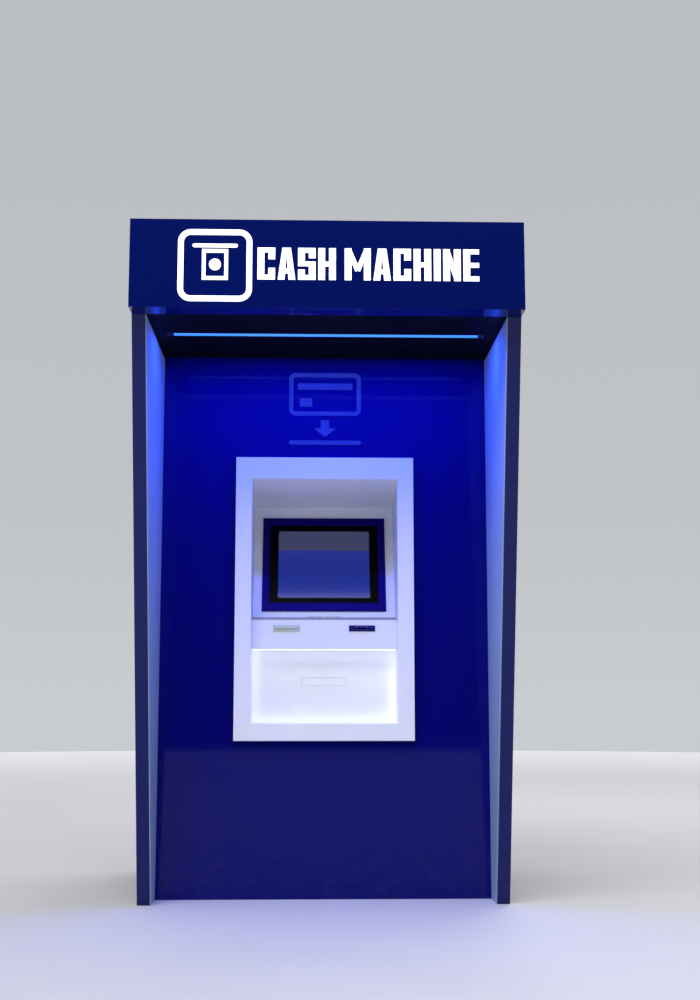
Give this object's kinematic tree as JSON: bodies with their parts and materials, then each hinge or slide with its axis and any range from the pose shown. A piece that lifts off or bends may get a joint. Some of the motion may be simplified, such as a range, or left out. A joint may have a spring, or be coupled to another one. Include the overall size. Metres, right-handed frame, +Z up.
{
  "type": "atm machine",
  "caption": "Walk-up cash machine: a screen, keypad and card slot recessed in a tall blue canopy housing with side fins, a lit header, a safe inside and a rear service door.",
  "frame": {"origin": "on the floor at the middle of the footprint", "axes": "+Z up, the customer stands on the -Y side, +X is the customer's right"},
  "size_m": [1.4, 1.7, 2.449],
  "materials": {
    "navy_paint": "glossy navy lacquer on folded steel sheet",
    "white_lining": "satin white powder coat",
    "fascia_white": "fine satin white powder coat",
    "black_soffit": "gloss black sheet",
    "anodised_channel": "anodised extrusion",
    "light_strip": "lit blue opal strip",
    "opal_letters": "lit white opal acrylic",
    "blue_acrylic": "flat cut acrylic",
    "plinth_coat": "black chassis coat",
    "galvanised": "galvanised steel",
    "roof_coat": "lacquered roof sheet",
    "screen_frame_blue": "gloss blue moulding",
    "black_gloss": "gloss black moulding",
    "display_glass": "display behind coated glass",
    "shelf_grey": "textured grey plate",
    "keypad_steel": "brushed stainless",
    "key_steel": "satin stainless key",
    "reader_plastic": "dark blue moulding",
    "printer_plastic": "grey-green moulding",
    "paper": "thermal paper",
    "safe_grey": "hammer-finish safe paint",
    "bright_steel": "ground steel",
    "chrome_handle": "satin chrome",
    "cassette_plastic": "moulded cassette plastic",
    "fan_plastic": "moulded fan plastic",
    "computer_case": "black coated steel case"
  },
  "bodies": {
    "housing": {"plinth": "plinth_coat", "floor_pan": "galvanised", "side_panel_left": "navy_paint", "side_panel_right": "navy_paint", "side_liner_left": "white_lining", "side_liner_right": "white_lining", "front_wall": "navy_paint", "roof_panel": "roof_coat", "header_box": "navy_paint", "header_face": "navy_paint", "sign_letters": "opal_letters", "soffit_panel": "black_soffit", "soffit_light_channel": "anodised_channel", "soffit_light_diffuser": "light_strip", "wall_sign": "blue_acrylic", "rear_frame": "galvanised", "rear_hinge_lower": "bright_steel", "fascia_surround": "fascia_white", "recess_liner": "fascia_white", "screen_panel": "fascia_white", "screen_frame": "screen_frame_blue", "screen_bezel": "black_gloss", "display_module": "display_glass", "shelf_console": "fascia_white", "keypad_shelf": "shelf_grey", "pinpad_housing": "keypad_steel", "card_reader": "reader_plastic", "receipt_printer": "printer_plastic", "lower_panel": "fascia_white", "safe_body": "safe_grey", "cash_dispenser": "galvanised", "pc_core": "computer_case", "atm_chassis": "galvanised"},
    "rear_door": {"rear_door": "navy_paint", "rear_hinge_upper": "bright_steel", "vent_fan_housing": "fan_plastic"},
    "rear_door_handle": {"rear_door_handle": "chrome_handle"},
    "vent_fan_rotor": {"vent_fan_rotor": "fan_plastic"},
    "safe_door": {"safe_door": "safe_grey"},
    "safe_handle": {"safe_handle": "chrome_handle"},
    "safe_bolts": {"safe_bolts": "bright_steel"},
    "cash_cassettes": {"cash_cassettes": "cassette_plastic"},
    "cash_shutter": {"cash_shutter": "fascia_white"},
    "paper_roll": {"paper_roll": "paper"},
    "key_01": {"key_01": "key_steel"},
    "key_02": {"key_02": "key_steel"},
    "key_03": {"key_03": "key_steel"},
    "key_04": {"key_04": "key_steel"},
    "key_05": {"key_05": "key_steel"},
    "key_06": {"key_06": "key_steel"},
    "key_07": {"key_07": "key_steel"},
    "key_08": {"key_08": "key_steel"},
    "key_09": {"key_09": "key_steel"},
    "key_10": {"key_10": "key_steel"},
    "key_11": {"key_11": "key_steel"},
    "key_12": {"key_12": "key_steel"},
    "key_13": {"key_13": "key_steel"},
    "key_14": {"key_14": "key_steel"},
    "key_15": {"key_15": "key_steel"},
    "key_16": {"key_16": "key_steel"}
  },
  "joints": [
    {"name": "rear_door_hinge", "type": "hinge", "parent": "housing", "child": "rear_door", "pos_m": [-0.638, 0.818, 1.105], "axis": [0, 0, 1], "range_deg": [0, 100]},
    {"name": "rear_handle_turn", "type": "hinge", "parent": "rear_door", "child": "rear_door_handle", "pos_m": [0.56, 0.818, 1.05], "axis": [0, 1, 0], "range_deg": [0, 90]},
    {"name": "vent_fan_spin", "type": "hinge", "parent": "rear_door", "child": "vent_fan_rotor", "pos_m": [0, 0.804, 1.86], "axis": [0, 1, 0], "continuous": true},
    {"name": "safe_door_hinge", "type": "hinge", "parent": "housing", "child": "safe_door", "pos_m": [-0.31, 0.723, 0.243], "axis": [0, 0, 1], "range_deg": [0, 100]},
    {"name": "safe_handle_turn", "type": "hinge", "parent": "safe_door", "child": "safe_handle", "pos_m": [0.15, 0.723, 0.6], "axis": [0, 1, 0], "range_deg": [0, 90]},
    {"name": "safe_bolt_throw", "type": "slide", "parent": "safe_door", "child": "safe_bolts", "axis": [1, 0, 0], "range_m": [0, 0.018]},
    {"name": "cassette_slide", "type": "slide", "parent": "housing", "child": "cash_cassettes", "axis": [0, 1, 0], "range_m": [0, 0.32]},
    {"name": "cash_shutter_swing", "type": "hinge", "parent": "housing", "child": "cash_shutter", "pos_m": [0, 0.06, 0.818], "axis": [-1, 0, 0], "range_deg": [0, 85]},
    {"name": "paper_roll_spin", "type": "hinge", "parent": "housing", "child": "paper_roll", "pos_m": [-0.151, 0.16, 0.993], "axis": [1, 0, 0], "continuous": true},
    {"name": "key_01_press", "type": "slide", "parent": "housing", "child": "key_01", "axis": [0, 0, -1], "range_m": [0, 0.0025], "stiffness_N_per_m": 600, "springref_m": -0.001},
    {"name": "key_02_press", "type": "slide", "parent": "housing", "child": "key_02", "axis": [0, 0, -1], "range_m": [0, 0.0025], "stiffness_N_per_m": 600, "springref_m": -0.001},
    {"name": "key_03_press", "type": "slide", "parent": "housing", "child": "key_03", "axis": [0, 0, -1], "range_m": [0, 0.0025], "stiffness_N_per_m": 600, "springref_m": -0.001},
    {"name": "key_04_press", "type": "slide", "parent": "housing", "child": "key_04", "axis": [0, 0, -1], "range_m": [0, 0.0025], "stiffness_N_per_m": 600, "springref_m": -0.001},
    {"name": "key_05_press", "type": "slide", "parent": "housing", "child": "key_05", "axis": [0, 0, -1], "range_m": [0, 0.0025], "stiffness_N_per_m": 600, "springref_m": -0.001},
    {"name": "key_06_press", "type": "slide", "parent": "housing", "child": "key_06", "axis": [0, 0, -1], "range_m": [0, 0.0025], "stiffness_N_per_m": 600, "springref_m": -0.001},
    {"name": "key_07_press", "type": "slide", "parent": "housing", "child": "key_07", "axis": [0, 0, -1], "range_m": [0, 0.0025], "stiffness_N_per_m": 600, "springref_m": -0.001},
    {"name": "key_08_press", "type": "slide", "parent": "housing", "child": "key_08", "axis": [0, 0, -1], "range_m": [0, 0.0025], "stiffness_N_per_m": 600, "springref_m": -0.001},
    {"name": "key_09_press", "type": "slide", "parent": "housing", "child": "key_09", "axis": [0, 0, -1], "range_m": [0, 0.0025], "stiffness_N_per_m": 600, "springref_m": -0.001},
    {"name": "key_10_press", "type": "slide", "parent": "housing", "child": "key_10", "axis": [0, 0, -1], "range_m": [0, 0.0025], "stiffness_N_per_m": 600, "springref_m": -0.001},
    {"name": "key_11_press", "type": "slide", "parent": "housing", "child": "key_11", "axis": [0, 0, -1], "range_m": [0, 0.0025], "stiffness_N_per_m": 600, "springref_m": -0.001},
    {"name": "key_12_press", "type": "slide", "parent": "housing", "child": "key_12", "axis": [0, 0, -1], "range_m": [0, 0.0025], "stiffness_N_per_m": 600, "springref_m": -0.001},
    {"name": "key_13_press", "type": "slide", "parent": "housing", "child": "key_13", "axis": [0, 0, -1], "range_m": [0, 0.0025], "stiffness_N_per_m": 600, "springref_m": -0.001},
    {"name": "key_14_press", "type": "slide", "parent": "housing", "child": "key_14", "axis": [0, 0, -1], "range_m": [0, 0.0025], "stiffness_N_per_m": 600, "springref_m": -0.001},
    {"name": "key_15_press", "type": "slide", "parent": "housing", "child": "key_15", "axis": [0, 0, -1], "range_m": [0, 0.0025], "stiffness_N_per_m": 600, "springref_m": -0.001},
    {"name": "key_16_press", "type": "slide", "parent": "housing", "child": "key_16", "axis": [0, 0, -1], "range_m": [0, 0.0025], "stiffness_N_per_m": 600, "springref_m": -0.001}
  ],
  "couplings": [
    {"joint": "safe_door_hinge", "follows": "rear_door_hinge", "ratio": 1},
    {"joint": "cassette_slide", "follows": "rear_door_hinge", "m_per_rad": 0.18},
    {"joint": "safe_bolt_throw", "follows": "safe_handle_turn", "m_per_rad": 0.011458}
  ]
}
